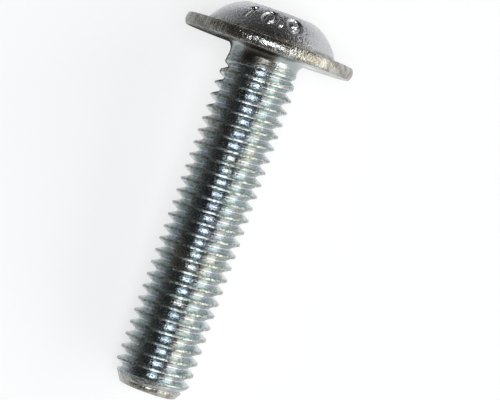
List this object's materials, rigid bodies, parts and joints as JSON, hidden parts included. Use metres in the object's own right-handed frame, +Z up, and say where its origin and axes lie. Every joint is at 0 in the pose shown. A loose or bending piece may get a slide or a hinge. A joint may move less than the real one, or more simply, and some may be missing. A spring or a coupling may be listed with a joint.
{
  "type": "flanged button head screw",
  "caption": "Metric button head screw with a pressed flange and a hexagon socket, threaded along the whole shank, in bright zinc-plated steel.",
  "frame": {"origin": "on the floor under the middle of the screw's length, where the screw lies at rest", "axes": "+Z up; +Y along the screw towards its head, with the screw's own axis rising 8.02 degrees towards the head; +X across"},
  "size_m": [0.0174, 0.0398, 0.0172],
  "materials": {
    "zinc_plated_steel": "bright zinc plating with a clear blue passivation over rolled and forged steel"
  },
  "bodies": {
    "root": {"screw": "zinc_plated_steel"}
  },
  "joints": []
}
